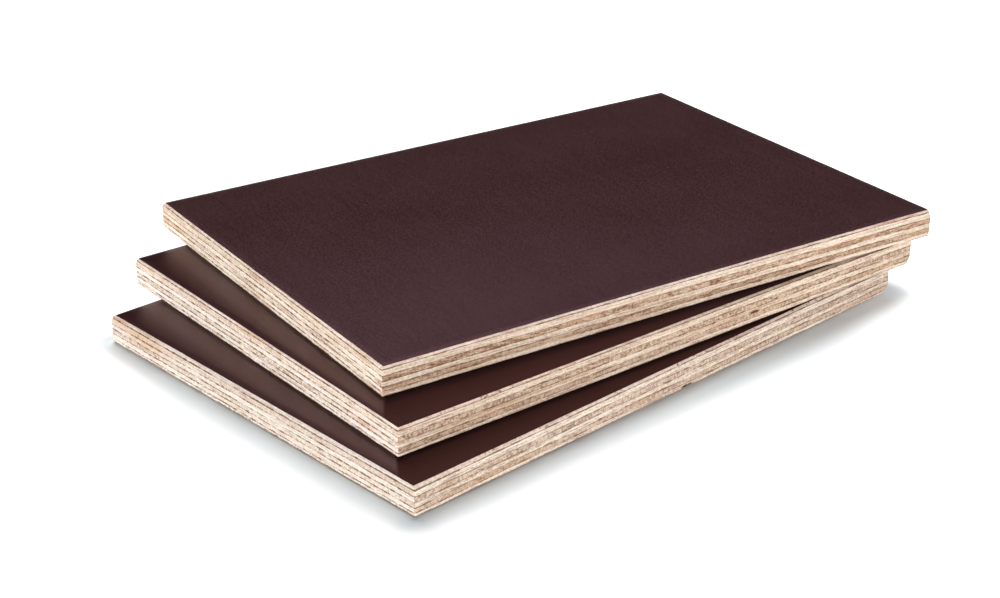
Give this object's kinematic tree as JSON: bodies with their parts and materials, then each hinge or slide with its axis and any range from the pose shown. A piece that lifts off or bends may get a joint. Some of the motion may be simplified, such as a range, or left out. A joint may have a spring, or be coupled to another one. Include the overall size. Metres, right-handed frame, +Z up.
{
  "type": "stack of film-faced plywood panels",
  "caption": "Rectangular plywood panels with dark resin-film faces and bare sawn edges, stacked flat and fanned out at one end.",
  "frame": {"origin": "centre of the lowest panel's underside, at the height it rests on", "axes": "+X along the lowest panel's long side, towards the end where the panels nearly meet; +Y along its short side; +Z up through the stack"},
  "size_m": [0.4693, 0.3399, 0.054],
  "materials": {
    "phenolic_film": "dark brown resin film, satin to semi-gloss",
    "face_veneer": "thin pinkish hardwood veneer, bared and sanded at the arris",
    "long_grain_veneer": "cream veneer with its grain along the panel, sawn",
    "cross_grain_veneer": "tan veneer with its grain across the panel, sawn"
  },
  "bodies": {
    "root": {"bottom_panel_lower_film": "phenolic_film", "bottom_panel_lower_face_veneer": "face_veneer", "bottom_panel_lower_core_veneer": "long_grain_veneer", "bottom_panel_lower_crossband": "cross_grain_veneer", "bottom_panel_centre_veneer": "long_grain_veneer", "bottom_panel_upper_crossband": "cross_grain_veneer", "bottom_panel_upper_core_veneer": "long_grain_veneer", "bottom_panel_upper_face_veneer": "face_veneer", "bottom_panel_upper_film": "phenolic_film", "middle_panel_lower_film": "phenolic_film", "middle_panel_lower_face_veneer": "face_veneer", "middle_panel_lower_core_veneer": "long_grain_veneer", "middle_panel_lower_crossband": "cross_grain_veneer", "middle_panel_centre_veneer": "long_grain_veneer", "middle_panel_upper_crossband": "cross_grain_veneer", "middle_panel_upper_core_veneer": "long_grain_veneer", "middle_panel_upper_face_veneer": "face_veneer", "middle_panel_upper_film": "phenolic_film", "top_panel_lower_film": "phenolic_film", "top_panel_lower_face_veneer": "face_veneer", "top_panel_lower_core_veneer": "long_grain_veneer", "top_panel_lower_crossband": "cross_grain_veneer", "top_panel_centre_veneer": "long_grain_veneer", "top_panel_upper_crossband": "cross_grain_veneer", "top_panel_upper_core_veneer": "long_grain_veneer", "top_panel_upper_face_veneer": "face_veneer", "top_panel_upper_film": "phenolic_film"}
  },
  "joints": []
}
